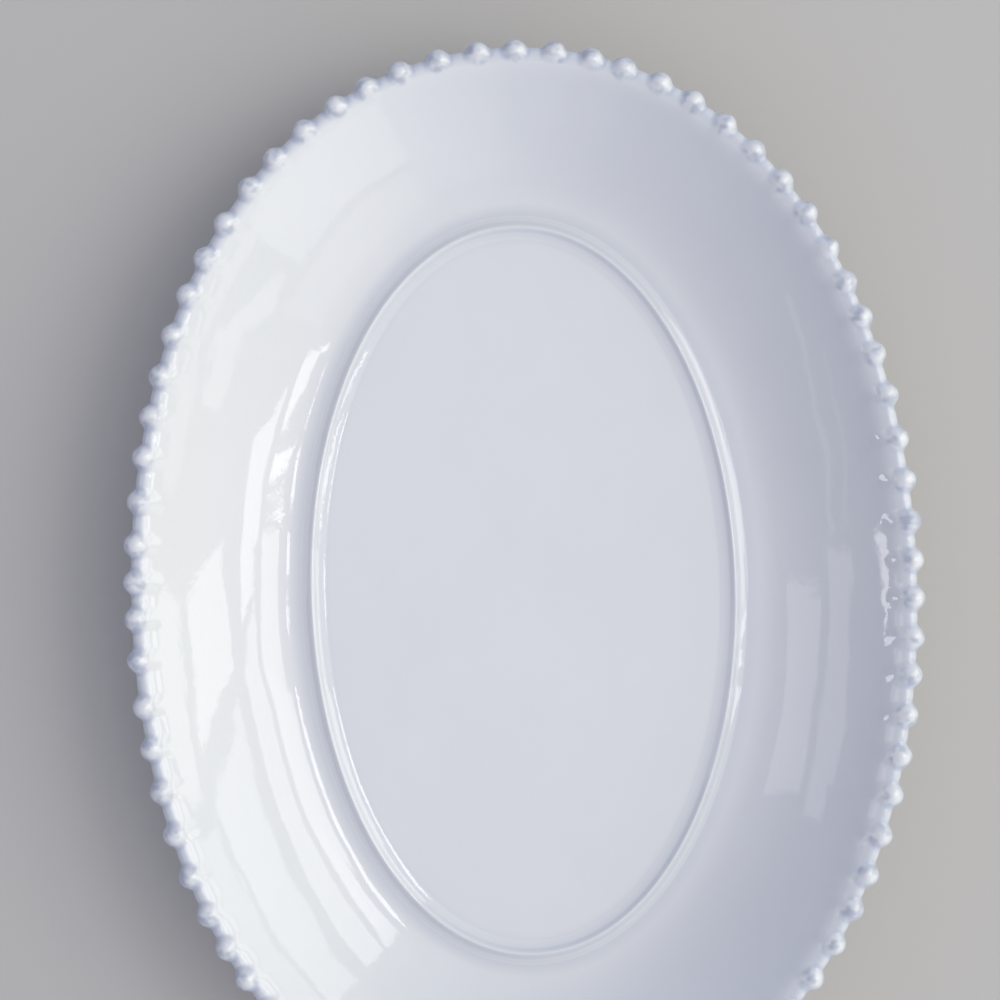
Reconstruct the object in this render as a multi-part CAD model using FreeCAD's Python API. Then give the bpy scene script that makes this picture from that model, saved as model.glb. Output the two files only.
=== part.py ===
import FreeCAD, Part
import math
import os

# Oval serving platter in white glazed stoneware with a beaded rim.
# Millimetres. The platter lies on its foot ring: +Z up, long axis along Y,
# origin at the centre of the oval on the plane that the foot stands on.
#
# Every round line of the platter is an oval made of four equal conic
# quarters. The oval through a section point at half-width RHO (on the X axis)
# has the half-length RHO_TO_LEN_K * RHO + RHO_TO_LEN_C (on the Y axis), so the
# wall keeps nearly the same width all the way round.

# ---------------------------------------------------------------- dimensions
BEAD_LINE_X = 140.35      # half-width of the line through the bead centres
BEAD_LINE_Y = 195.48      # half-length of that line
BEAD_R = 4.5              # bead radius
BEAD_Z = 41.30            # height of the bead centres above the table

CREST_X = 78.8            # half-width of the raised line's crest
CREST_Y = 135.3           # half-length of the raised line's crest

# fullness of the oval: weight of the corner pole of each conic quarter
# (0.7071 is a true ellipse, larger is a little squarer)
FULL_AT_CREST = 0.7357
FULL_AT_BEADS = 0.7807

GLAZE = 0.4               # thickness of the fired glaze coat
FLOOR_TOP = 9.6           # glazed well floor above the table
FLOOR_UNDER = 3.2         # glazed underside of the well above the table
BODY_TOP = FLOOR_TOP - GLAZE
BODY_UNDER = FLOOR_UNDER + GLAZE

WELL_EDGE = 73.0          # half-width where the flat well meets the raised line
VALLEY = 83.6             # half-width where the raised line meets the wall
CREST_RISE = 1.87         # crest of the raised line above the well floor
VALLEY_RISE = 0.18        # bottom of the valley outside it above the floor

FOOT_IN = 82.2            # half-width of the standing face's inner edge
FOOT_OUT = 86.2           # half-width of the standing face's outer edge
FOOT_TOP_IN = 80.9
FOOT_TOP_OUT = 87.9
BARE = 0.5                # the glaze stops this far above the table

# wall section, glazed face: half-width, height, slope
WALL_FACE = [
    (83.6, 9.78, 0.0),
    (95.0, 12.45, 0.46),
    (108.0, 20.0, 0.70),
    (122.0, 30.8, 0.84),
    (131.0, 38.85, 0.95),
]
# wall thickness, glaze included, at the same stations (the first one is
# over the foot and is not used)
WALL_T = [None, 6.6, 6.4, 6.0, 5.6]

LIP_R = 3.0               # radius of the rounded lip between the beads
LIP_X = 139.0             # half-width of the lip's centre line
LIP_Z = 41.15             # height of the lip's centre line
LIP_TOP_SLOPE = 0.30      # slope of the face where the round lip starts
LIP_END_SLOPE = 0.45      # slope of the back where the round lip ends

BEAD_COUNT = 74
# spacing from each bead to the next along the bead line, anticlockwise seen
# from above, for the beads of the sides and one end: they are set by hand and
# not quite even. The rest of the line is divided evenly.
BEAD_START = 921.4
BEAD_PITCH = [
    14.7, 14.2, 13.6, 15.0, 15.1, 14.4, 14.9, 14.6, 13.6, 14.2, 13.8, 13.9,
    15.1, 15.0, 16.3, 15.6, 14.0, 13.8, 13.8, 14.9, 14.5, 14.8, 14.1, 14.1,
    13.5, 14.1, 12.3, 13.6, 14.3, 13.5, 14.6, 14.3, 13.3, 13.0, 14.3, 14.7,
    14.0, 15.3, 14.7, 14.5, 15.5, 15.5, 15.0, 14.8, 16.1, 15.6, 13.5, 13.4,
    14.9, 16.9, 15.4, 15.8, 16.2, 16.2, 15.2, 13.9, 13.0]

# ------------------------------------------------------------ derived values
LEN_K = (BEAD_LINE_Y - CREST_Y) / (BEAD_LINE_X - CREST_X)
LEN_C = BEAD_LINE_Y - LEN_K * BEAD_LINE_X
FULL_K = (FULL_AT_BEADS - FULL_AT_CREST) / (BEAD_LINE_X - CREST_X)


def half_length(rho):
    return LEN_K * rho + LEN_C


def fullness(rho):
    return FULL_AT_CREST + FULL_K * (rho - CREST_X)


DIRS = [(1, 0), (0, 1), (-1, 0), (0, -1)]


def quarter_poles(rho, z, q):
    """Three poles and weights of quarter q of the oval at half-width rho."""
    a, b = rho, half_length(rho)
    d0, d2 = DIRS[q], DIRS[(q + 1) % 4]
    d1 = (d0[0] + d2[0], d0[1] + d2[1])
    poles = [FreeCAD.Vector(a * d[0], b * d[1], z) for d in (d0, d1, d2)]
    return poles, [1.0, fullness(rho), 1.0]


def band(rows):
    """Four faces swept round the oval by one Bezier section.

    rows is the list of the section's poles (half-width, height)."""
    n = len(rows)
    faces = []
    for q in range(4):
        cols = [quarter_poles(r, z, q) for r, z in rows]
        poles = [[cols[j][0][i] for j in range(n)] for i in range(3)]
        weights = [[cols[j][1][i] for j in range(n)] for i in range(3)]
        s = Part.BSplineSurface()
        s.buildFromPolesMultsKnots(poles, [3, 3], [n, n], [0, 1], [0, 1],
                                   False, False, 2, n - 1, weights)
        faces.append(s.toShape())
    return faces


def oval_wire(rho, z):
    edges = []
    for q in range(4):
        poles, w = quarter_poles(rho, z, q)
        c = Part.BSplineCurve()
        c.buildFromPolesMultsKnots(poles, [3, 3], [0, 1], False, 2, w)
        edges.append(c.toShape())
    return Part.Wire(edges)


def flat(rho_out, z, rho_in=None):
    """Flat face bounded by one oval, or the flat ring between two."""
    if rho_in is None:
        return [Part.Face(oval_wire(rho_out, z))]
    out = Part.Face(oval_wire(rho_out, z))
    hole = Part.Face(oval_wire(rho_in, z))
    return out.cut(hole).Faces


def line(p, q):
    return [p, q]


def curve(p, q):
    """Cubic section between two stations (half-width, height, slope)."""
    d = (q[0] - p[0]) / 3.0
    return [(p[0], p[1]), (p[0] + d, p[1] + p[2] * d),
            (q[0] - d, q[1] - q[2] * d), (q[0], q[1])]


def offset(p, t):
    """Station moved by t square to the section, downwards and outwards."""
    n = math.hypot(1.0, p[2])
    return (p[0] + t * p[2] / n, p[1] - t / n, p[2])


def solid(faces):
    comp = Part.makeCompound(faces)
    comp.sewShape(1e-4)
    shells = comp.Shells
    if len(shells) != 1 or not shells[0].isClosed():
        raise RuntimeError("section is not closed: %d shells" % len(shells))
    s = Part.makeSolid(shells[0])
    if s.Volume < 0:
        s.reverse()
    if not s.isValid():
        s.fix(1e-5, 1e-5, 1e-4)
    return s


def closed(sections):
    """Solid ring from a closed chain of Bezier sections."""
    faces = []
    for rows in sections:
        r0, z0 = rows[0]
        r1, z1 = rows[-1]
        if len(rows) == 2 and abs(z0 - z1) < 1e-9:
            faces += flat(max(r0, r1), z0, min(r0, r1))
        else:
            faces += band(rows)
    return solid(faces)


# ------------------------------------------------------------- section lines
# raised line round the well: glazed outline and the body's outline under it
RIDGE = [
    (WELL_EDGE, FLOOR_TOP, 0.0),
    (73.8, FLOOR_TOP + 0.065, 0.16),
    (75.2, FLOOR_TOP + 0.34, 0.23),
    (76.6, FLOOR_TOP + 0.73, 0.34),
    (77.5, FLOOR_TOP + 1.15, 0.62),
    (78.25, FLOOR_TOP + 1.66, 0.72),
    (CREST_X, FLOOR_TOP + CREST_RISE, 0.0),
    (79.35, FLOOR_TOP + 1.66, -0.72),
    (80.1, FLOOR_TOP + 1.16, -0.62),
    (81.2, FLOOR_TOP + 0.66, -0.32),
    (82.4, FLOOR_TOP + 0.33, -0.18),
    (VALLEY, FLOOR_TOP + VALLEY_RISE, 0.0),
]
RIDGE_BODY = [
    (WELL_EDGE, BODY_TOP, 0.0),
    (73.9, BODY_TOP + 0.065, 0.16),
    (75.3, BODY_TOP + 0.34, 0.22),
    (76.7, BODY_TOP + 0.70, 0.32),
    (77.5, BODY_TOP + 1.02, 0.50),
    (78.25, BODY_TOP + 1.47, 0.58),
    (CREST_X, BODY_TOP + CREST_RISE - 0.21, 0.0),
    (79.35, BODY_TOP + 1.47, -0.58),
    (80.1, BODY_TOP + 1.05, -0.52),
    (81.1, BODY_TOP + 0.63, -0.31),
    (82.3, BODY_TOP + 0.33, -0.18),
    (VALLEY, BODY_TOP + VALLEY_RISE, 0.0),
]
FACE = list(WALL_FACE)
FACE_BODY = [offset(p, GLAZE) for p in FACE]
UNDER = [offset(p, t) for p, t in zip(FACE[1:], WALL_T[1:])]
UNDER_BODY = [offset(p, t - GLAZE) for p, t in zip(FACE[1:], WALL_T[1:])]
HEEL = (FOOT_TOP_OUT + 0.3, BODY_UNDER - 0.35, 0.15)
HEEL_BODY = (FOOT_TOP_OUT, BODY_UNDER, 0.15)


def run(stations):
    return [curve(a, b) for a, b in zip(stations, stations[1:])]


def back(rows_list):
    return [list(reversed(r)) for r in reversed(rows_list)]


# ---------------------------------------------------------------- the pieces
nodes = {}

# flat oval floor of the well
nodes["well_floor"] = solid(
    flat(WELL_EDGE, BODY_TOP)
    + band(line((WELL_EDGE, BODY_UNDER), (WELL_EDGE, BODY_TOP)))
    + flat(WELL_EDGE, BODY_UNDER))

# raised line that runs round the well
nodes["verge_ring"] = closed(
    run(RIDGE_BODY)
    + [line((VALLEY, BODY_TOP + VALLEY_RISE), (VALLEY, BODY_UNDER)),
       line((VALLEY, BODY_UNDER), (WELL_EDGE, BODY_UNDER)),
       line((WELL_EDGE, BODY_UNDER), (WELL_EDGE, BODY_TOP))])

# sloping wall of the dish, from the valley up to the rim band
nodes["dish_wall"] = closed(
    run(FACE_BODY)
    + [line(FACE_BODY[-1][:2], UNDER_BODY[-1][:2])]
    + back(run([HEEL_BODY] + UNDER_BODY))
    + [line(HEEL_BODY[:2], (VALLEY, BODY_UNDER)),
       line((VALLEY, BODY_UNDER), FACE_BODY[0][:2])])

# ring that the platter stands on, bare along its standing face
nodes["foot_ring"] = closed([
    line((FOOT_TOP_IN, BODY_UNDER), (FOOT_TOP_OUT, BODY_UNDER)),
    line((FOOT_TOP_OUT, BODY_UNDER), (FOOT_OUT + 0.2, BARE)),
    line((FOOT_OUT + 0.2, BARE), (FOOT_OUT, 0.0)),
    line((FOOT_OUT, 0.0), (FOOT_IN, 0.0)),
    line((FOOT_IN, 0.0), (FOOT_IN - 0.4, BARE)),
    line((FOOT_IN - 0.4, BARE), (FOOT_TOP_IN, BODY_UNDER)),
])

# rounded band at the top of the wall, which carries the beads
top_a = math.atan2(1.0, -LIP_TOP_SLOPE)           # directions from the lip's
end_a = math.atan2(-1.0, LIP_END_SLOPE)           # centre to its two ends
mid_a = 0.5 * (top_a + end_a)
LIP_TOP = (LIP_X + LIP_R * math.cos(top_a), LIP_Z + LIP_R * math.sin(top_a),
           LIP_TOP_SLOPE)
LIP_END = (LIP_X + LIP_R * math.cos(end_a), LIP_Z + LIP_R * math.sin(end_a),
           LIP_END_SLOPE)


def arc(a0, a1):
    """Cubic section along the round lip from direction a0 to a1."""
    k = 4.0 / 3.0 * math.tan((a1 - a0) / 4.0) * LIP_R
    p = [(LIP_X + LIP_R * math.cos(a), LIP_Z + LIP_R * math.sin(a))
         for a in (a0, a1)]
    return [p[0],
            (p[0][0] - k * math.sin(a0), p[0][1] + k * math.cos(a0)),
            (p[1][0] + k * math.sin(a1), p[1][1] - k * math.cos(a1)),
            p[1]]


rim_band = closed(
    [curve(FACE[-1], LIP_TOP), arc(top_a, mid_a), arc(mid_a, end_a)]
    + back([curve(UNDER[-1], LIP_END)])
    + [line(UNDER[-1][:2], UNDER_BODY[-1][:2]),
       line(UNDER_BODY[-1][:2], FACE_BODY[-1][:2]),
       line(FACE_BODY[-1][:2], FACE[-1][:2])])
nodes["rim_band"] = rim_band

# glaze over the face: well floor, raised line and wall
nodes["glaze_face"] = solid(
    flat(WELL_EDGE, FLOOR_TOP)
    + sum([band(r) for r in run(RIDGE)], [])
    + sum([band(r) for r in run(FACE)], [])
    + band(line(FACE[-1][:2], FACE_BODY[-1][:2]))
    + sum([band(r) for r in back(run(FACE_BODY))], [])
    + sum([band(r) for r in back(run(RIDGE_BODY))], [])
    + flat(WELL_EDGE, BODY_TOP))

# glaze over the back of the wall, down to just above the standing face
nodes["glaze_back"] = closed(
    back(run([HEEL] + UNDER))
    + [line(HEEL[:2], (FOOT_OUT + 0.6, BARE)),
       line((FOOT_OUT + 0.6, BARE), (FOOT_OUT + 0.2, BARE)),
       line((FOOT_OUT + 0.2, BARE), (FOOT_TOP_OUT, BODY_UNDER))]
    + run([HEEL_BODY] + UNDER_BODY)
    + [line(UNDER_BODY[-1][:2], UNDER[-1][:2])])

# glaze in the recess inside the foot
nodes["glaze_base"] = solid(
    flat(FOOT_TOP_IN, BODY_UNDER)
    + band(line((FOOT_TOP_IN, BODY_UNDER), (FOOT_IN - 0.4, BARE)))
    + flat(FOOT_IN - 0.4, BARE, FOOT_IN - 0.8)
    + band(line((FOOT_IN - 0.8, BARE), (FOOT_TOP_IN - 0.3, FLOOR_UNDER)))
    + flat(FOOT_TOP_IN - 0.3, FLOOR_UNDER))


# ----------------------------------------------------------------- the beads
def on_line(q, u):
    p, w = quarter_poles(BEAD_LINE_X, BEAD_Z, q)
    b = [(1 - u) ** 2 * w[0], 2 * u * (1 - u) * w[1], u * u * w[2]]
    s = sum(b)
    return (sum(b[i] * p[i].x for i in range(3)) / s,
            sum(b[i] * p[i].y for i in range(3)) / s)


STEPS = 2000
pts = [on_line(q, i / STEPS) for q in range(4) for i in range(STEPS)]
dist = [0.0]
for i in range(len(pts)):
    a, b = pts[i], pts[(i + 1) % len(pts)]
    dist.append(dist[-1] + math.hypot(b[0] - a[0], b[1] - a[1]))
ROUND = dist[-1]


def at(s):
    s %= ROUND
    lo, hi = 0, len(pts)
    while hi - lo > 1:
        mid = (lo + hi) // 2
        if dist[mid] <= s:
            lo = mid
        else:
            hi = mid
    f = (s - dist[lo]) / (dist[lo + 1] - dist[lo])
    a, b = pts[lo], pts[(lo + 1) % len(pts)]
    return a[0] + f * (b[0] - a[0]), a[1] + f * (b[1] - a[1])


bead_s = [BEAD_START]
for p in BEAD_PITCH:
    bead_s.append(bead_s[-1] + p)
left = BEAD_COUNT - len(bead_s)
gap = (BEAD_START + ROUND - bead_s[-1]) / (left + 1)
for _ in range(left):
    bead_s.append(bead_s[-1] + gap)
print("bead line %.1f mm round, %d beads, pitch of the evenly spaced ones %.2f mm"
      % (ROUND, len(bead_s), gap))

beads = []
for s in bead_s:
    x, y = at(s)
    # the ball's seam faces outwards, clear of the band that it is cut to
    a, b = at(s - 0.5), at(s + 0.5)
    out = math.degrees(math.atan2(a[0] - b[0], b[1] - a[1]))
    ball = Part.makeSphere(BEAD_R)
    ball.Placement = FreeCAD.Placement(
        FreeCAD.Vector(x, y, BEAD_Z),
        FreeCAD.Rotation(FreeCAD.Vector(0, 0, 1), out))
    piece = ball.cut(rim_band)
    if len(piece.Solids) != 1 or not piece.isValid():
        raise RuntimeError("bead at %.1f came out as %d solids"
                           % (s, len(piece.Solids)))
    beads.append(piece.Solids[0])
nodes["rim_beads"] = Part.makeCompound(beads)

# -------------------------------------------------------------------- output
os.makedirs("parts", exist_ok=True)
total = 0.0
for name, shape in nodes.items():
    shape.exportStep("parts/%s.step" % name)
    box = shape.BoundBox
    total += shape.Volume
    print("%-12s solids %3d valid %s volume %9.0f mm3  box %.1f %.1f %.2f .. %.1f %.1f %.2f"
          % (name, len(shape.Solids), shape.isValid(), shape.Volume,
             box.XMin, box.YMin, box.ZMin, box.XMax, box.YMax, box.ZMax))
print("all pieces %.0f mm3, %.2f kg at 2.3 g/cm3" % (total, total * 2.3e-6))
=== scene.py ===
import math

import bpy
import numpy as np
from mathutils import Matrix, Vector


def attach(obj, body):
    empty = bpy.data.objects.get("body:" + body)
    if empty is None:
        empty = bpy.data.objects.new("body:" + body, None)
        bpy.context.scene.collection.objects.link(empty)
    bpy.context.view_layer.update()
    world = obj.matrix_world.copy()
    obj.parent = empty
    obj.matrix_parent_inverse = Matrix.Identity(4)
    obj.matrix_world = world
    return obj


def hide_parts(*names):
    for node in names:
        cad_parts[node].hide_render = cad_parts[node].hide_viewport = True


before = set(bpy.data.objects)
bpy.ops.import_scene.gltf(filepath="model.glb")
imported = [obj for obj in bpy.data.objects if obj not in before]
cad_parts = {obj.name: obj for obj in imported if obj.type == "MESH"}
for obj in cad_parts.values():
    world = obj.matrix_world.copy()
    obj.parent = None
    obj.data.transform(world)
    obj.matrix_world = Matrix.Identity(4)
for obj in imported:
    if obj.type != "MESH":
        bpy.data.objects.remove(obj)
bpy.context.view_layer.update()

# --------------------------------------------------------------------------
# The platter's section, in millimetres: the same stations as the design.
# Every round line is an oval of four conic quarters, and a section point at
# half-width rho has the half-length LEN_K * rho + LEN_C.
# --------------------------------------------------------------------------
BEAD_X, BEAD_Y, BEAD_R, BEAD_Z = 140.35, 195.48, 4.5, 41.30
CREST_X, CREST_Y = 78.8, 135.3
FULL_CREST, FULL_BEADS = 0.7357, 0.7807
LEN_K = (BEAD_Y - CREST_Y) / (BEAD_X - CREST_X)
LEN_C = BEAD_Y - LEN_K * BEAD_X
FULL_K = (FULL_BEADS - FULL_CREST) / (BEAD_X - CREST_X)
GLAZE = 0.4
FLOOR_TOP, FLOOR_UNDER = 9.6, 3.2
BODY_TOP, BODY_UNDER = FLOOR_TOP - GLAZE, FLOOR_UNDER + GLAZE
WELL_EDGE, VALLEY = 73.0, 83.6
FOOT_IN, FOOT_OUT, FOOT_TOP_IN, FOOT_TOP_OUT, BARE = 82.2, 86.2, 80.9, 87.9, 0.5
FACE = [(83.6, 9.78, 0.0), (95.0, 12.45, 0.46), (108.0, 20.0, 0.70),
        (122.0, 30.8, 0.84), (131.0, 38.85, 0.95)]
WALL_T = [6.6, 6.4, 6.0, 5.6]
LIP_R, LIP_X, LIP_Z, LIP_TOP_SLOPE, LIP_END_SLOPE = 3.0, 139.0, 41.15, 0.30, 0.45
RIDGE = [(73.0, 9.60, 0.0), (73.8, 9.665, 0.16), (75.2, 9.94, 0.23),
         (76.6, 10.33, 0.34), (77.5, 10.75, 0.62), (78.25, 11.26, 0.72),
         (78.8, 11.47, 0.0), (79.35, 11.26, -0.72), (80.1, 10.76, -0.62),
         (81.2, 10.26, -0.32), (82.4, 9.93, -0.18), (83.6, 9.78, 0.0)]
BEAD_COUNT, BEAD_START = 74, 921.4
BEAD_PITCH = [
    14.7, 14.2, 13.6, 15.0, 15.1, 14.4, 14.9, 14.6, 13.6, 14.2, 13.8, 13.9,
    15.1, 15.0, 16.3, 15.6, 14.0, 13.8, 13.8, 14.9, 14.5, 14.8, 14.1, 14.1,
    13.5, 14.1, 12.3, 13.6, 14.3, 13.5, 14.6, 14.3, 13.3, 13.0, 14.3, 14.7,
    14.0, 15.3, 14.7, 14.5, 15.5, 15.5, 15.0, 14.8, 16.1, 15.6, 13.5, 13.4,
    14.9, 16.9, 15.4, 15.8, 16.2, 16.2, 15.2, 13.9, 13.0]
FILLET = 1.9            # how softly a bead runs into the lip and the wall
MOAT = 0.35             # depth of the crease round a bead
RIM_IN = 126.0          # half-width where the plain wall takes over from the rim
# Each bead runs inwards as a lobe that sinks into the wall: the height of its
# back and its half-width, from the bead's middle inwards.
LOBE_TOP = [(126.0, 25.4, 2.60), (129.0, 32.5, 2.15), (131.5, 37.3, 1.75),
            (133.6, 40.5, 1.35), (135.8, 43.1, 1.0), (138.2, 45.05, 0.58),
            (140.35, 45.8, 0.0)]
LOBE_R = [(126.0, 2.4), (129.0, 2.8), (131.5, 3.4), (133.6, 3.85), (135.8, 4.2),
          (138.2, 4.42), (140.35, 4.5)]

PER_BEAD = 24           # columns of mesh from one bead to the next
rng = np.random.default_rng(7)


# ------------------------------------------------------------------ the oval
def oval(rho, t):
    """x, y of the oval at half-width rho and position t (0 to 4)."""
    t = np.mod(t, 4.0)
    k = np.floor(t).astype(int) % 4
    u = t - np.floor(t)
    dx = np.array([1.0, 0.0, -1.0, 0.0])
    dy = np.array([0.0, 1.0, 0.0, -1.0])
    w = FULL_CREST + FULL_K * (rho - CREST_X)
    b0, b1, b2 = (1 - u) ** 2, 2 * u * (1 - u) * w, u * u
    s = b0 + b1 + b2
    x0, x2, y0, y2 = dx[k], dx[(k + 1) % 4], dy[k], dy[(k + 1) % 4]
    x = (b0 * x0 + b1 * (x0 + x2) + b2 * x2) / s
    y = (b0 * y0 + b1 * (y0 + y2) + b2 * y2) / s
    return rho * x, (LEN_K * rho + LEN_C) * y


tt = np.linspace(0, 4, 16001)
lx, ly = oval(np.full_like(tt, BEAD_X), tt)
line_s = np.concatenate([[0.0], np.cumsum(np.hypot(np.diff(lx), np.diff(ly)))])
ROUND = line_s[-1]
bead_s = list(BEAD_START + np.concatenate([[0.0], np.cumsum(BEAD_PITCH)]))
left = BEAD_COUNT - len(bead_s)
gap = (BEAD_START + ROUND - bead_s[-1]) / (left + 1)
for _ in range(left):
    bead_s.append(bead_s[-1] + gap)
bead_s = np.array(bead_s)


def t_of(s):
    return np.interp(np.mod(s, ROUND), line_s, tt)


bead_t = t_of(bead_s)
bx, by = oval(np.full(BEAD_COUNT, BEAD_X), bead_t)
# hand-made beads: not quite one size and not quite in line
bead_r = BEAD_R * (1 - 0.035 * rng.random(BEAD_COUNT))
bead_z = BEAD_Z + rng.uniform(-0.16, 0.12, BEAD_COUNT)

cols = []
for k in range(BEAD_COUNT):
    s0 = bead_s[k]
    s1 = bead_s[k + 1] if k + 1 < BEAD_COUNT else bead_s[0] + ROUND
    cols += list(s0 + (s1 - s0) * np.arange(PER_BEAD) / PER_BEAD)
cols = np.array(cols)
COL_T = t_of(cols)
NC = len(COL_T)                                      # 1776
near = np.repeat(np.arange(BEAD_COUNT), PER_BEAD)
late = (np.arange(NC) % PER_BEAD) > PER_BEAD // 2
near = np.where(late, (near + 1) % BEAD_COUNT, near)


# --------------------------------------------------------------- the section
def hermite(p, q, n):
    s = np.linspace(0, 1, n)
    d = q[0] - p[0]
    z = ((2 * s ** 3 - 3 * s ** 2 + 1) * p[1] + (s ** 3 - 2 * s ** 2 + s) * d * p[2]
         + (-2 * s ** 3 + 3 * s ** 2) * q[1] + (s ** 3 - s ** 2) * d * q[2])
    return np.stack([p[0] + s * d, z], 1)


def chain(stations, n):
    out = [hermite(stations[0], stations[1], n)]
    for a, b in zip(stations[1:], stations[2:]):
        out.append(hermite(a, b, n)[1:])
    return np.concatenate(out)


def offset(p, t):
    n = math.hypot(1.0, p[2])
    return (p[0] + t * p[2] / n, p[1] - t / n, p[2])


UNDER = [offset(p, t) for p, t in zip(FACE[1:], WALL_T)]
UNDER_BODY = [offset(p, t - GLAZE) for p, t in zip(FACE[1:], WALL_T)]
FACE_BODY = [offset(p, GLAZE) for p in FACE]
HEEL = (FOOT_TOP_OUT + 0.3, BODY_UNDER - 0.35, 0.15)
HEEL_BODY = (FOOT_TOP_OUT, BODY_UNDER, 0.15)
top_a = math.atan2(1.0, -LIP_TOP_SLOPE)
end_a = math.atan2(-1.0, LIP_END_SLOPE)
LIP_TOP = (LIP_X + LIP_R * math.cos(top_a), LIP_Z + LIP_R * math.sin(top_a), LIP_TOP_SLOPE)
LIP_END = (LIP_X + LIP_R * math.cos(end_a), LIP_Z + LIP_R * math.sin(end_a), LIP_END_SLOPE)
arc_a = np.linspace(top_a, end_a, 90)
nose = np.stack([LIP_X + LIP_R * np.cos(arc_a), LIP_Z + LIP_R * np.sin(arc_a)], 1)

face_line = chain(FACE, 60)
under_line = chain([HEEL] + UNDER, 60)
lip_line = np.concatenate([
    hermite(FACE[-1], LIP_TOP, 60), nose[1:-1],
    hermite(UNDER[-1], LIP_END, 60)[::-1]])

# signed distance to the wall and lip on a fine grid of the section
keep_top = face_line[face_line[:, 0] > 112.0]
keep_und = under_line[under_line[:, 0] > 116.0]
ring = np.concatenate([keep_top[:-1], lip_line, keep_und[:-1][::-1]])
GX = np.arange(118.0, 150.001, 0.12)
GZ = np.arange(24.0, 52.001, 0.12)
gx, gz = np.meshgrid(GX, GZ, indexing="ij")
pts = np.stack([gx.ravel(), gz.ravel()], 1)
a = ring
b = np.roll(ring, -1, 0)
best = np.full(len(pts), 1e9)
inside = np.zeros(len(pts), bool)
for p, q in zip(a, b):
    d = q - p
    L = d @ d
    if L < 1e-12:
        continue
    s = np.clip(((pts - p) @ d) / L, 0, 1)
    best = np.minimum(best, ((pts - p - s[:, None] * d) ** 2).sum(1))
    cross = (p[1] > pts[:, 1]) != (q[1] > pts[:, 1])
    if abs(q[1] - p[1]) > 1e-12:
        xi = p[0] + (pts[:, 1] - p[1]) * (q[0] - p[0]) / (q[1] - p[1])
        inside ^= cross & (pts[:, 0] < xi)
sdf = np.sqrt(best) * np.where(inside, -1, 1)
sdf = sdf.reshape(gx.shape)


def wall_distance(rho, z):
    i = np.clip((rho - GX[0]) / 0.12, 0, len(GX) - 1.001)
    j = np.clip((z - GZ[0]) / 0.12, 0, len(GZ) - 1.001)
    i0, j0 = i.astype(int), j.astype(int)
    fi, fj = i - i0, j - j0
    return ((1 - fi) * (1 - fj) * sdf[i0, j0] + fi * (1 - fj) * sdf[i0 + 1, j0]
            + (1 - fi) * fj * sdf[i0, j0 + 1] + fi * fj * sdf[i0 + 1, j0 + 1])


def smin(p, q, k):
    h = np.maximum(k - np.abs(p - q), 0) / k
    return np.minimum(p, q) - h * h * k * 0.25, h * h


# rows of the rim zone: rays from the bead line, spaced along the wall and lip
in_line = face_line[(face_line[:, 0] > RIM_IN) & (face_line[:, 0] < FACE[-1][0] - 0.02)]
in_line = np.concatenate([[[RIM_IN, np.interp(RIM_IN, face_line[:, 0], face_line[:, 1])]], in_line])
lip_line = np.concatenate([in_line, lip_line])
rel = lip_line - np.array([BEAD_X, BEAD_Z])
ang = np.unwrap(np.arctan2(rel[:, 1], rel[:, 0]))
if ang[0] < 0:
    ang = ang + 2 * math.pi
step = np.hypot(*(np.diff(lip_line, axis=0)).T) + 2.6 * np.abs(np.diff(ang))
dens = np.concatenate([[0.0], np.cumsum(step)])
ROWS = 108
PHI = np.interp(np.linspace(0, dens[-1], ROWS), dens, ang)

T_rim = np.repeat(COL_T[:, None], ROWS, 1)
cx3, cy3, cz3, cr3 = bx[near][:, None], by[near][:, None], bead_z[near][:, None], bead_r[near][:, None]
cosp, sinp = np.cos(PHI)[None, :], np.sin(PHI)[None, :]
# outward direction of the bead line at each bead
ex1, ey1 = oval(np.full(BEAD_COUNT, BEAD_X), bead_t + 1e-4)
ex0, ey0 = oval(np.full(BEAD_COUNT, BEAD_X), bead_t - 1e-4)
out_x, out_y = ey1 - ey0, ex0 - ex1
out_n = np.hypot(out_x, out_y)
nx3, ny3 = (out_x / out_n)[near][:, None], (out_y / out_n)[near][:, None]
lobe_line = chain(LOBE_TOP, 50)
lobe_rr = np.array(LOBE_R)
lobe_x = np.linspace(RIM_IN - 3.0, BEAD_X, 700)
lobe_z = np.interp(lobe_x, lobe_line[:, 0], lobe_line[:, 1]) - np.maximum(RIM_IN - lobe_x, 0) * 1.8
lobe_m = np.gradient(lobe_z, lobe_x)
lobe_m = np.convolve(np.pad(lobe_m, 12, mode="edge"), np.ones(25) / 25, mode="valid")
lobe_w = np.interp(lobe_x, lobe_rr[:, 0], lobe_rr[:, 1])
lobe_w = np.convolve(np.pad(lobe_w, 30, mode="edge"), np.ones(61) / 61, mode="valid")
lobe_w *= BEAD_R / lobe_w[-1]


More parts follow.
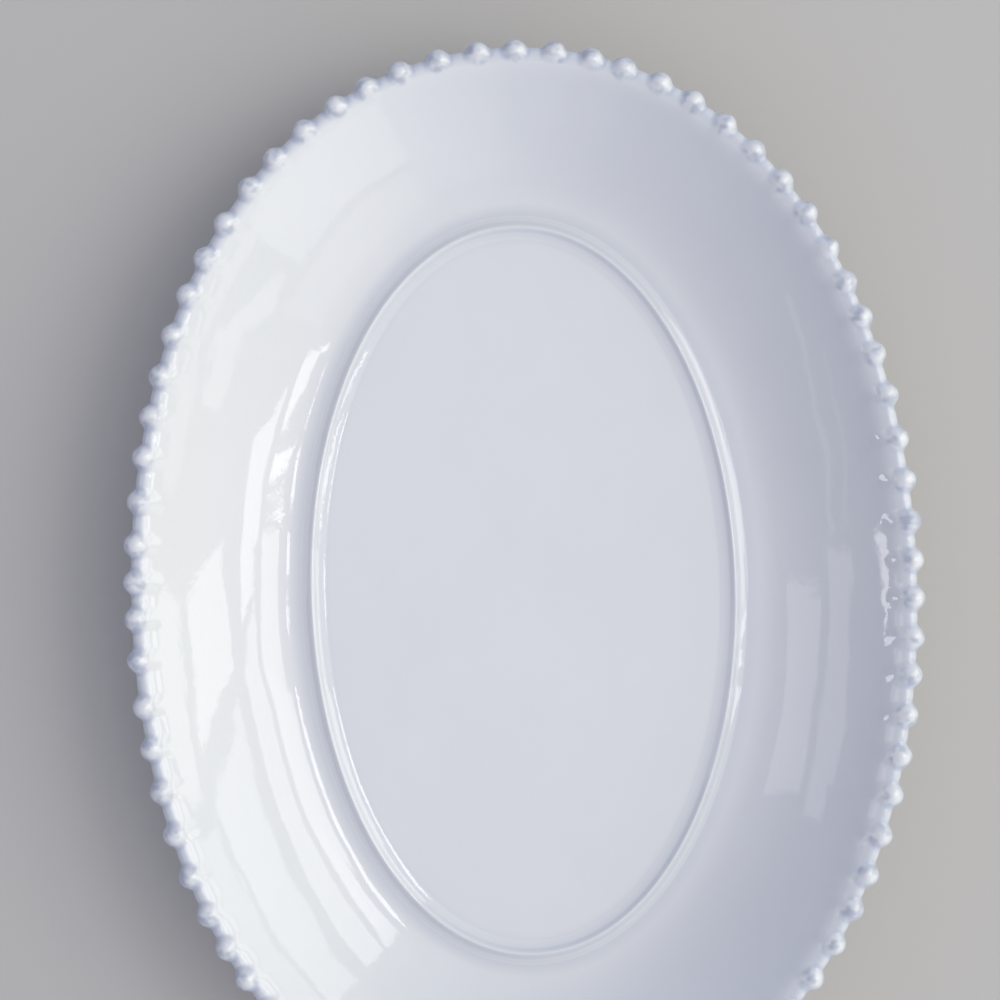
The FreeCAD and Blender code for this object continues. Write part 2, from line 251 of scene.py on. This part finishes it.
def field(r):
    rho = BEAD_X + r * cosp
    z = BEAD_Z + r * sinp
    x, y = oval(rho, T_rim)
    dw = wall_distance(rho, z)
    dx, dy, dz = x - cx3, y - cy3, z - cz3
    ball = np.sqrt(dx * dx + dy * dy + dz * dz) - cr3
    inward = -(dx * nx3 + dy * ny3)                  # how far in from the bead's middle
    across = -dx * ny3 + dy * nx3
    at = BEAD_X - np.maximum(inward, 0.0)
    w = np.interp(at, lobe_x, lobe_w) * (cr3 / BEAD_R)
    top = np.interp(at, lobe_x, lobe_z) - BEAD_Z - (BEAD_R - cr3)
    # at the two ends of the oval the lobes die out sooner
    top = top - 2.6 * np.abs(ny3) ** 3 * np.clip((inward - 0.8) / 4.5, 0.0, 1.0)
    m = np.interp(at, lobe_x, lobe_m)
    lobe = (np.sqrt(across ** 2 + (dz - (top - w)) ** 2) - w) / np.sqrt(1 + 0.6 * m * m)
    ds = np.where((inward > 0) & (dz > top - w), lobe, ball)
    # a slight moat round the outer half of each bead
    moat = MOAT * np.exp(-(ds / 1.5) ** 2) * np.clip((rho - 137.5) / 2.5, 0.0, 1.0)
    f, h = smin(dw + moat, ds, FILLET)
    return f, h, x, y, z


lo = np.full((NC, ROWS), 0.4)
hi = np.full((NC, ROWS), 17.5)
for _ in range(26):
    mid = 0.5 * (lo + hi)
    f = field(mid)[0]
    lo = np.where(f < 0, mid, lo)
    hi = np.where(f < 0, hi, mid)
r_rim = 0.5 * (lo + hi)
_, pool_rim, X_rim, Y_rim, Z_rim = field(r_rim)
rho_rim = BEAD_X + r_rim * cosp
# the glaze gathers in the crease round each bead and on the lip between two; its darker tint there is also
# painted shade, stronger towards the top of the rim
across_rim = np.hypot(X_rim - cx3, Y_rim - cy3)
crease = np.exp(-((across_rim - 4.9) / 1.5) ** 2)
between = np.clip((across_rim - 4.2) / 1.8, 0.0, 1.0) * 0.55
upper = np.clip((sinp + 0.15) / 0.5, 0.0, 1.0)
pool_rim = (np.maximum(crease, between) * np.clip((rho_rim - 136.4) / 2.6, 0.0, 1.0)
            * (0.2 + 0.8 * upper))
# where painted shade is laid on the beads as blue-grey blotches, mostly on their upper side
bead_rim = (np.clip((5.2 - across_rim) / 1.4, 0.0, 1.0) * np.clip((rho_rim - 134.5) / 2.5, 0.0, 1.0)
            * (0.15 + 0.85 * upper))


# ------------------------------------------------------------- mesh building
class Grid:
    """Collects rings of vertices and the faces between them."""

    def __init__(self):
        self.co, self.pool, self.bead, self.faces, self.n = [], [], [], [], 0

    def ring(self, x, y, z, pool=0.0, bead=0.0):
        x = np.asarray(x, float)
        z = np.broadcast_to(z, x.shape)
        self.co.append(np.stack([x, y, z], 1))
        self.pool.append(np.broadcast_to(pool, x.shape).astype(float))
        self.bead.append(np.broadcast_to(bead, x.shape).astype(float))
        ids = np.arange(self.n, self.n + len(x))
        self.n += len(x)
        return ids

    def join(self, p, q):
        """Faces between two rings; p may have twice the points of q, or q of p."""
        if len(p) == len(q):
            p1, q1 = np.roll(p, -1), np.roll(q, -1)
            self.faces += np.stack([p, p1, q1, q], 1).tolist()
        elif len(p) == 2 * len(q):
            f0, f1, f2 = p[0::2], p[1::2], np.roll(p, -2)[0::2]
            q1 = np.roll(q, -1)
            self.faces += np.stack([f0, f1, q], 1).tolist()
            self.faces += np.stack([f1, q1, q], 1).tolist()
            self.faces += np.stack([f1, f2, q1], 1).tolist()
        elif len(q) == 2 * len(p):
            g0, g1, g2 = q[0::2], q[1::2], np.roll(q, -2)[0::2]
            p1 = np.roll(p, -1)
            self.faces += np.stack([p, g1, g0], 1).tolist()
            self.faces += np.stack([p, p1, g1], 1).tolist()
            self.faces += np.stack([p1, g2, g1], 1).tolist()
        else:
            raise ValueError((len(p), len(q)))
        return q

    def cap(self, ring, x, y, z):
        c = self.ring(np.array([x]), np.array([y]), z)[0]
        r1 = np.roll(ring, -1)
        self.faces += np.stack([ring, r1, np.full_like(ring, c)], 1).tolist()

    def mesh(self, name):
        co = np.concatenate(self.co) * 0.001
        me = bpy.data.meshes.new(name)
        me.from_pydata(co.tolist(), [], self.faces)
        for key, values in (("pool", self.pool), ("bead", self.bead)):
            at = me.attributes.new(key, "FLOAT", "POINT")
            at.data.foreach_set("value", np.concatenate(values).astype(np.float32))
        me.polygons.foreach_set("use_smooth", np.ones(len(me.polygons), bool))
        me.update()
        me.validate()
        o = bpy.data.objects.new(name, me)
        bpy.context.scene.collection.objects.link(o)
        return o


# slow waves of a hand-finished face, in mm along the surface normal
waves = []
for lam, amp, n in ((95, 0.060, 3), (48, 0.030, 4), (26, 0.014, 5), (17, 0.005, 5)):
    for _ in range(n):
        th = rng.uniform(0, 2 * math.pi)
        waves.append((math.cos(th) * 2 * math.pi / lam, math.sin(th) * 2 * math.pi / lam,
                      rng.uniform(0, 2 * math.pi), amp * rng.uniform(0.6, 1.0)))


def wave(x, y):
    w = np.zeros_like(x)
    for kx, ky, ph, am in waves:
        w += am * np.sin(kx * x + ky * y + ph)
    return w


def along(line, s):
    """Points of a dense section line at the given rho."""
    return np.interp(s, line[:, 0], line[:, 1])


coat = Grid()
# rim zone, face side to back side
Z_rim = Z_rim + wave(X_rim, Y_rim) * np.clip((134.0 - rho_rim) / 8.0, 0, 1) * (sinp < 0.35)
rings = []
for j in range(ROWS):
    rings.append(coat.ring(X_rim[:, j], Y_rim[:, j], Z_rim[:, j], pool_rim[:, j], bead_rim[:, j]))
for p, q in zip(rings, rings[1:]):
    coat.join(q, p)
face_edge, back_edge = rings[0], rings[-1]

# wall, from the rim zone down to the valley
T2, T4, T8 = COL_T[::2], COL_T[::4], COL_T[::8]
ridge_line = chain(RIDGE, 40)
rise = np.linspace(RIM_IN, 83.6, 58)[1:]
prev = face_edge
for n, rho in enumerate(rise):
    t = COL_T if n < 3 else T2
    x, y = oval(np.full(len(t), rho), t)
    z = along(face_line, rho)
    zz = z + wave(x, y)
    # the valley at the foot of the wall, outside the raised line, is tinted darker: painted shade with
    # pooled glaze
    pl = np.clip((88.0 - rho) / 5.0, 0, 1) * 0.45
    ids = coat.ring(x, y, zz, pl)
    coat.join(prev, ids)
    prev = ids

# raised line round the well
curv_x = np.linspace(73.0, 83.6, 400)
curv_z = along(ridge_line, curv_x)
curv = np.gradient(np.gradient(curv_z, curv_x), curv_x)
seg = np.hypot(np.gradient(curv_x), np.gradient(curv_z)) * (0.35 + np.minimum(np.abs(curv), 2.0))
cum = np.concatenate([[0], np.cumsum(0.5 * (seg[1:] + seg[:-1]))])
rows_rho = np.interp(np.linspace(0, cum[-1], 54), cum, curv_x)[::-1][1:]
for rho in rows_rho:
    x, y = oval(np.full(len(T2), rho), T2)
    z = along(ridge_line, rho) + wave(x, y)
    c = np.interp(rho, curv_x, curv)
    # the raised line's hollow feet are tinted darker by their curvature, more on the outer side: painted
    # shade with pooled glaze
    ids = coat.ring(x, y, z, np.clip(0.08 + c * 1.1, 0, 1) * (0.9 if rho > 75 else 0.5))
    coat.join(prev, ids)
    prev = ids

# flat floor of the well, to its centre
ex, ey = oval(np.full(len(COL_T), WELL_EDGE), COL_T)
scale = [0.985, 0.965, 0.935, 0.90, 0.86, 0.82, 0.77, 0.72, 0.66, 0.60, 0.54,
         0.47, 0.40, 0.33, 0.26, 0.20, 0.14, 0.09, 0.05, 0.02]
for n, k in enumerate(scale):
    st = 2 if n < 3 else 4 if n < 9 else 8 if n < 13 else 16 if n < 17 else 48
    if n >= 17:
        st = 16
    x, y = ex[::st] * k, ey[::st] * k
    ids = coat.ring(x, y, FLOOR_TOP + wave(x, y), 0.0)
    coat.join(prev, ids)
    prev = ids
coat.cap(prev, 0.0, 0.0, FLOOR_TOP + float(wave(np.zeros(1), np.zeros(1))[0]))

# back of the wall, down to the bare line of the foot
prev = back_edge
back_rows = list(zip(under_line[::-1, 0], under_line[::-1, 1]))[1:]
back_rows = back_rows[:-1:5] + [back_rows[-1]]
heel = [(88.12, 3.12), (88.02, 2.95), (87.85, 2.6), (87.55, 2.0), (87.2, 1.3),
        (86.95, 0.80), (86.88, 0.66), (86.76, 0.55), (86.60, 0.51), (86.40, 0.50)]
for n, (rho, z) in enumerate(back_rows + heel):
    st = 1 if n < 1 else 2 if n < 8 else 4
    t = COL_T[::st]
    x, y = oval(np.full(len(t), rho), t)
    ids = coat.ring(x, y, z, 0.0)
    coat.join(ids, prev) if len(ids) == len(prev) else coat.join(prev[::-1], ids[::-1])
    prev = ids
foot_edge = prev

# inner side of the coat, on the stoneware body
body_ridge = np.stack([curv_x, curv_z - GLAZE - 0.02], 1)
inner = []
ub = chain([HEEL_BODY] + UNDER_BODY, 12)
inner += [tuple(p) for p in ub]
lip_in = np.linspace(end_a, top_a, 14)
inner += [(LIP_X + (LIP_R - GLAZE) * math.cos(v), LIP_Z + (LIP_R - GLAZE) * math.sin(v)) for v in lip_in]
inner += [tuple(p) for p in chain(FACE_BODY, 12)[::-1]]
inner += [tuple(p) for p in body_ridge[::-1][::10]]
for rho, z in inner:
    t = COL_T[::4]
    x, y = oval(np.full(len(t), rho), t)
    ids = coat.ring(x, y, z, 0.0)
    coat.join(ids, prev)
    prev = ids
for n, k in enumerate([0.93, 0.80, 0.6, 0.35, 0.12]):
    st = 4 if n < 1 else 8 if n < 3 else 16
    x, y = ex[::st] * k, ey[::st] * k
    ids = coat.ring(x, y, BODY_TOP, 0.0)
    coat.join(ids, prev) if len(ids) == len(prev) else coat.join(prev[::-1], ids[::-1])
    prev = ids
coat.cap(prev[::-1], 0.0, 0.0, BODY_TOP)
glaze_coat = coat.mesh("glaze_coat")

# glaze in the recess inside the foot
base = Grid()
t4 = COL_T[::4]
outer = [(81.80, 0.50), (81.62, 0.51), (81.48, 0.56), (81.38, 0.66), (81.30, 0.86),
         (81.05, 1.7), (80.82, 2.5), (80.66, 2.92), (80.45, 3.10), (80.1, 3.18), (79.4, 3.20), (78.0, 3.20)]
prev = None
first = None
for rho, z in outer:
    x, y = oval(np.full(len(t4), rho), t4)
    # the side of the recess is tinted darker: pooled glaze and painted shade
    ids = base.ring(x, y, z, 0.4 if 2.0 < z < 3.19 else 0.0)
    if prev is None:
        first = ids
    else:
        base.join(ids, prev)
    prev = ids
hx, hy = oval(np.full(len(COL_T), 78.0), COL_T)
for n, k in enumerate([0.96, 0.90, 0.82, 0.73, 0.63, 0.52, 0.41, 0.30, 0.20, 0.11, 0.05]):
    st = 4 if n < 3 else 8 if n < 6 else 16
    x, y = hx[::st] * k, hy[::st] * k
    ids = base.ring(x, y, 3.20 - 0.5 * wave(x, y) * min(1.0, n / 3.0), 0.0)
    base.join(ids, prev) if len(ids) == len(prev) else base.join(prev[::-1], ids[::-1])
    prev = ids
base.cap(prev[::-1], 0.0, 0.0, 3.20 - 0.5 * float(wave(np.zeros(1), np.zeros(1))[0]))
prev = first
for rho, z in [(81.3, 2.0), (80.9, 3.55), (80.2, 3.6), (78.0, 3.6)]:
    x, y = oval(np.full(len(t4), rho), t4)
    ids = base.ring(x, y, z, 0.0)
    base.join(prev, ids)
    prev = ids
for n, k in enumerate([0.9, 0.7, 0.45, 0.2]):
    st = 4 if n < 1 else 8 if n < 2 else 16
    x, y = hx[::st] * k, hy[::st] * k
    ids = base.ring(x, y, 3.6, 0.0)
    base.join(prev, ids)
    prev = ids
base.cap(prev, 0.0, 0.0, 3.6)
glaze_foot = base.mesh("glaze_recess")


# ----------------------------------------------------------------- materials
def new_material(name):
    m = bpy.data.materials.new(name)
    m.use_nodes = True
    nt = m.node_tree
    nt.nodes.clear()
    out = nt.nodes.new("ShaderNodeOutputMaterial")
    bsdf = nt.nodes.new("ShaderNodeBsdfPrincipled")
    nt.links.new(bsdf.outputs["BSDF"], out.inputs["Surface"])
    return m, nt, bsdf


def noise(nt, vec, scale, detail=3.0, rough=0.5):
    n = nt.nodes.new("ShaderNodeTexNoise")
    n.inputs["Scale"].default_value = scale
    n.inputs["Detail"].default_value = detail
    n.inputs["Roughness"].default_value = rough
    nt.links.new(vec, n.inputs["Vector"])
    return n.outputs["Fac"]


def remap(nt, v, a, b, c, d):
    n = nt.nodes.new("ShaderNodeMapRange")
    for i, val in zip((1, 2, 3, 4), (a, b, c, d)):
        n.inputs[i].default_value = val
    nt.links.new(v, n.inputs[0])
    return n.outputs[0]


def mix(nt, fac, a, b):
    n = nt.nodes.new("ShaderNodeMix")
    n.data_type = "RGBA"
    for sock, val in ((n.inputs[6], a), (n.inputs[7], b)):
        if isinstance(val, tuple):
            sock.default_value = val
        else:
            nt.links.new(val, sock)
    if isinstance(fac, float):
        n.inputs[0].default_value = fac
    else:
        nt.links.new(fac, n.inputs[0])
    return n.outputs[2]


def maths(nt, op, a, b):
    n = nt.nodes.new("ShaderNodeMath")
    n.operation = op
    for sock, val in zip(n.inputs, (a, b)):
        if isinstance(val, (int, float)):
            sock.default_value = val
        else:
            nt.links.new(val, sock)
    return n.outputs[0]


glaze, nt, bsdf = new_material("white_glaze")
co = nt.nodes.new("ShaderNodeTexCoord").outputs["Object"]
pool = nt.nodes.new("ShaderNodeAttribute")
pool.attribute_name = "pool"
pool = pool.outputs["Fac"]
bead = nt.nodes.new("ShaderNodeAttribute")
bead.attribute_name = "bead"
bead = bead.outputs["Fac"]
cloud = noise(nt, co, 16.0, 3.0)
mottle = noise(nt, co, 75.0, 4.0, 0.6)
tone = mix(nt, remap(nt, cloud, 0.35, 0.65, 0.0, 1.0),
           (0.722, 0.736, 0.758, 1), (0.734, 0.747, 0.768, 1))
tone = mix(nt, remap(nt, mottle, 0.45, 0.75, 0.0, 0.30), tone, (0.708, 0.723, 0.748, 1))
# painted shade with pooled glaze: a blue-grey tint in the creases, the valley, the feet of the raised line
# and the recess
tone = mix(nt, maths(nt, "MULTIPLY", pool, 0.68), tone, (0.400, 0.450, 0.575, 1))
# painted shade on the beads: blue-grey blotches, mostly on their upper side
bead_shade_blots = remap(nt, noise(nt, co, 250.0, 1.0, 0.45), 0.46, 0.68, 0.0, 0.72)
tone = mix(nt, maths(nt, "MULTIPLY", bead_shade_blots, bead), tone, (0.375, 0.415, 0.520, 1))
nt.links.new(tone, bsdf.inputs["Base Color"])
bsdf.inputs["Roughness"].default_value = 0.32
bsdf.inputs["IOR"].default_value = 1.45
bsdf.inputs["Specular IOR Level"].default_value = 0.35
bsdf.inputs["Coat Weight"].default_value = 1.0
bsdf.inputs["Coat IOR"].default_value = 1.52
nt.links.new(remap(nt, noise(nt, co, 40.0, 2.0), 0.3, 0.7, 0.020, 0.045), bsdf.inputs["Coat Roughness"])
# orange peel and the pin-prick pits of a fired glaze
peel = nt.nodes.new("ShaderNodeBump")
peel.inputs["Strength"].default_value = 1.0
peel.inputs["Distance"].default_value = 0.00003
nt.links.new(noise(nt, co, 150.0, 2.0), peel.inputs["Height"])
fine = nt.nodes.new("ShaderNodeBump")
fine.inputs["Strength"].default_value = 1.0
fine.inputs["Distance"].default_value = 0.000006
nt.links.new(noise(nt, co, 700.0, 2.0), fine.inputs["Height"])
nt.links.new(peel.outputs[0], fine.inputs["Normal"])
nt.links.new(fine.outputs[0], bsdf.inputs["Normal"])
nt.links.new(fine.outputs[0], bsdf.inputs["Coat Normal"])

bisque, nt, bsdf = new_material("bare_stoneware")
co = nt.nodes.new("ShaderNodeTexCoord").outputs["Object"]
sand = noise(nt, co, 900.0, 5.0, 0.7)
patch = noise(nt, co, 30.0, 3.0)
tone = mix(nt, remap(nt, patch, 0.35, 0.65, 0.0, 1.0), (0.60, 0.545, 0.47, 1), (0.66, 0.61, 0.54, 1))
tone = mix(nt, remap(nt, sand, 0.58, 0.74, 0.0, 0.55), tone, (0.40, 0.33, 0.26, 1))
nt.links.new(tone, bsdf.inputs["Base Color"])
nt.links.new(remap(nt, sand, 0.3, 0.7, 0.70, 0.92), bsdf.inputs["Roughness"])
bump = nt.nodes.new("ShaderNodeBump")
bump.inputs["Strength"].default_value = 0.8
bump.inputs["Distance"].default_value = 0.00012
nt.links.new(sand, bump.inputs["Height"])
nt.links.new(bump.outputs[0], bsdf.inputs["Normal"])

for o in (glaze_coat, glaze_foot):
    o.data.materials.append(glaze)
    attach(o, "root")
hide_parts("glaze_face", "glaze_back", "rim_band", "rim_beads")
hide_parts("glaze_base")
for name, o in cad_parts.items():
    for s in o.material_slots:
        s.material = bisque
    if not o.material_slots:
        o.data.materials.append(bisque)

# --------------------------------------------------------------------- stage
bpy.ops.mesh.primitive_plane_add(size=8.0, location=(0, 0, 0))
floor = bpy.context.object
floor.name = "floor"
fmat, nt, bsdf = new_material("pale_floor")
bsdf.inputs["Base Color"].default_value = (0.52, 0.505, 0.485, 1)
bsdf.inputs["Roughness"].default_value = 0.85
bsdf.inputs["Specular IOR Level"].default_value = 0.2
floor.data.materials.append(fmat)

# a pale curved backdrop, which only closes the view past the floor's edge
turn = [2 * math.pi * k / 96 for k in range(96)]
me = bpy.data.meshes.new("backdrop")
me.from_pydata([(3.9 * math.cos(a), 3.9 * math.sin(a), z) for z in (0.0, 4.0) for a in turn], [],
               [(k, 96 + k, 96 + (k + 1) % 96, (k + 1) % 96) for k in range(96)])
bmat = bpy.data.materials.new("pale_backdrop")
bmat.use_nodes = True
nt = bmat.node_tree
nt.nodes.clear()
glow = nt.nodes.new("ShaderNodeEmission")
glow.inputs["Color"].default_value = (0.41, 0.405, 0.40, 1)
nt.links.new(glow.outputs[0], nt.nodes.new("ShaderNodeOutputMaterial").inputs["Surface"])
me.materials.append(bmat)
backdrop = bpy.data.objects.new("backdrop", me)
bpy.context.scene.collection.objects.link(backdrop)
for ray in ("diffuse", "glossy", "transmission", "volume_scatter", "shadow"):
    setattr(backdrop, "visible_" + ray, False)

# a soft studio: brighter from the right, the ends and above than from the left
SKY = [((1, 0, 0), (0.75, 0.73, 0.47)), ((0, 1, 0), (0.23, 0.32, 0.59)),
       ((0, -1, 0), (0.28, 0.34, 0.57)), ((0, 0, 1), (0.68, 0.667, 0.70)),
       ((-1, 0, 0), (0.0, 0.0, 0.03))]
world = bpy.data.worlds.new("studio")
bpy.context.scene.world = world
world.use_nodes = True
wt = world.node_tree
total = None
sky_dir = wt.nodes.new("ShaderNodeTexCoord").outputs["Generated"]
for axis, colour in SKY:
    dot = wt.nodes.new("ShaderNodeVectorMath")
    dot.operation = "DOT_PRODUCT"
    wt.links.new(sky_dir, dot.inputs[0])
    dot.inputs[1].default_value = axis
    side = wt.nodes.new("ShaderNodeMath")
    side.operation = "MAXIMUM"
    wt.links.new(dot.outputs["Value"], side.inputs[0])
    side.inputs[1].default_value = 0.0
    lobe = wt.nodes.new("ShaderNodeMath")
    lobe.operation = "POWER"
    wt.links.new(side.outputs[0], lobe.inputs[0])
    lobe.inputs[1].default_value = 1.5
    scale = wt.nodes.new("ShaderNodeVectorMath")
    scale.operation = "SCALE"
    scale.inputs[0].default_value = colour
    wt.links.new(lobe.outputs[0], scale.inputs["Scale"])
    if total is None:
        total = scale.outputs[0]
    else:
        add = wt.nodes.new("ShaderNodeVectorMath")
        add.operation = "ADD"
        wt.links.new(total, add.inputs[0])
        wt.links.new(scale.outputs[0], add.inputs[1])
        total = add.outputs[0]
wt.links.new(total, wt.nodes["Background"].inputs["Color"])
wt.nodes["Background"].inputs["Strength"].default_value = 1.0

# Panes of a softbox on each side, as (azimuth, elevation) corners seen from
# the dish: azimuth from +X towards +Y, in degrees.
PANES = {
    "a1": (1.70, [(-4, 4), (11, 4), (9.3, 15.2), (-2, 14.8)]),
    "a2": (1.20, [(15, 4), (40, 4), (39.5, 17.2), (11.7, 16.3)]),
    "b1": (2.30, [(-2, 16.8), (6.5, 17), (1, 25.5), (-5.5, 25)]),
    "b2": (1.70, [(10, 17.4), (39, 19), (38.5, 26), (4.5, 26.3)]),
    "c1": (3.00, [(-12, 31), (-1, 31), (-5, 39.5), (-17, 41.5)]),
    "c2": (2.20, [(0.6, 31), (37.5, 30.3), (37, 42.3), (-3, 38.2)]),
    "d1": (4.00, [(-19.5, 45), (-13.5, 45), (-16.5, 60), (-20, 62)]),
    "d1t": (6.00, [(-20, 62), (-17.5, 62), (-18, 71), (-19, 71)]),
    "d2": (4.90, [(-10.5, 44), (-8.2, 43.5), (-8, 62), (-11.5, 71)]),
    "d3": (2.60, [(-6, 42.5), (0, 41.5), (-1, 61), (-7, 61)]),
    "d4": (2.90, [(0, 41.5), (15, 45.5), (14, 66), (-1, 68)]),
    "d5": (3.20, [(15, 45.5), (31, 46.5), (27, 62), (14, 60.5)]),
    "d6": (2.70, [(31, 46.5), (36.5, 44), (32, 62), (27, 62)]),
    "top": (5.80, [(-8, 74), (20, 71), (25, 74), (-9, 79)]),
    "e1": (1.00, [(-30, 22), (-20, 16), (-17.5, 17.5), (-24, 24)]),
    "e2": (1.00, [(-20, 15), (-14, 15), (-13.5, 19), (-19, 20)]),
    "g1": (0.95, [(-62, 5), (-32, 5), (-32, 24), (-62, 24)]),
    "g2": (0.75, [(-32, 4), (-8, 4), (-8, 13), (-32, 13)]),
    "h1": (0.45, [(-60, 26), (-24, 26), (-24, 46), (-60, 46)]),
    "k1": (0.42, [(-88, 8), (-62, 8), (-60, 42), (-86, 42)]),
    "k2": (0.26, [(-101, 8), (-88, 8), (-86, 42), (-99, 42)]),
    "k3": (0.12, [(-114, 8), (-101, 8), (-99, 42), (-112, 42)]),
    "f1": (1.25, [(167.5, 27), (181.5, 27), (181.5, 42.5), (167.5, 42.5)]),
    "f2": (1.10, [(165, 20.5), (183, 19.5), (183, 24.5), (165, 25)]),
    "f3": (4.50, [(179.5, 8), (185, 8), (184.5, 12.5), (179.5, 12.8)]),
    "f4": (0.65, [(184, 22.4), (203, 18.8), (203, 19.8), (184, 23.4)]),
    "f5": (0.50, [(185, 19.2), (197, 16.6), (197, 17.2), (185, 19.8)]),
}
PANE_COLOUR = (1.0, 1.0, 0.97)
PANE_R = 2.2


def pane(name, light, corners):
    """One flat, evenly bright pane that faces the dish and doesn't show itself."""
    co = []
    for az, el in corners:
        az, el = math.radians(az), math.radians(el)
        co.append((PANE_R * math.cos(el) * math.cos(az), PANE_R * math.cos(el) * math.sin(az),
                   0.03 + PANE_R * math.sin(el)))
    me = bpy.data.meshes.new("pane_" + name)
    me.from_pydata(co, [], [(0, 1, 2, 3)])
    m = bpy.data.materials.new("pane_" + name)
    m.use_nodes = True
    t = m.node_tree
    t.nodes.clear()
    out = t.nodes.new("ShaderNodeOutputMaterial")
    em = t.nodes.new("ShaderNodeEmission")
    top = max(light)
    em.inputs["Color"].default_value = (*[v / top for v in light], 1.0)
    em.inputs["Strength"].default_value = top
    t.links.new(em.outputs[0], out.inputs["Surface"])
    me.materials.append(m)
    o = bpy.data.objects.new("pane_" + name, me)
    bpy.context.scene.collection.objects.link(o)
    o.visible_camera = False
    o.visible_shadow = False
    return o


def sky(az, el):
    """What the sky gives in one direction; a pane adds to it."""
    az, el = math.radians(az), math.radians(el)
    d = Vector((math.cos(el) * math.cos(az), math.cos(el) * math.sin(az), math.sin(el)))
    total = Vector((0, 0, 0))
    for axis, colour in SKY:
        total += Vector(colour) * max(d.dot(Vector(axis)), 0.0) ** 1.5
    return total


for name, (radiance, corners) in PANES.items():
    az = sum(c[0] for c in corners) / 4
    el = sum(c[1] for c in corners) / 4
    pane(name, Vector(PANE_COLOUR) * radiance + sky(az, el), corners)

# -------------------------------------------------------------------- camera
scene = bpy.context.scene
PX = 0.36104                     # millimetres per pixel at the height of the beads
D = 1000.0
roll = 0.028
ox, oy = 24.27 * PX, -92.96 * PX  # platter centre seen from the middle of the picture
cam_x = -(ox * math.cos(roll) + oy * math.sin(roll))
cam_y = -(-ox * math.sin(roll) + oy * math.cos(roll))
cam = bpy.data.cameras.new("camera")
cam.sensor_width = 36.0
cam.lens = D / PX * 36.0 / 1000.0
cam.clip_start, cam.clip_end = 0.05, 50.0
cam_o = bpy.data.objects.new("camera", cam)
cam_o.location = (cam_x * 0.001, cam_y * 0.001, (D + BEAD_Z) * 0.001)
cam_o.rotation_euler = (0, 0, -roll)
scene.collection.objects.link(cam_o)
scene.camera = cam_o
scene.view_settings.view_transform = "Standard"
scene.view_settings.look = "None"
scene.view_settings.exposure = 0.0
scene.view_settings.gamma = 1.0
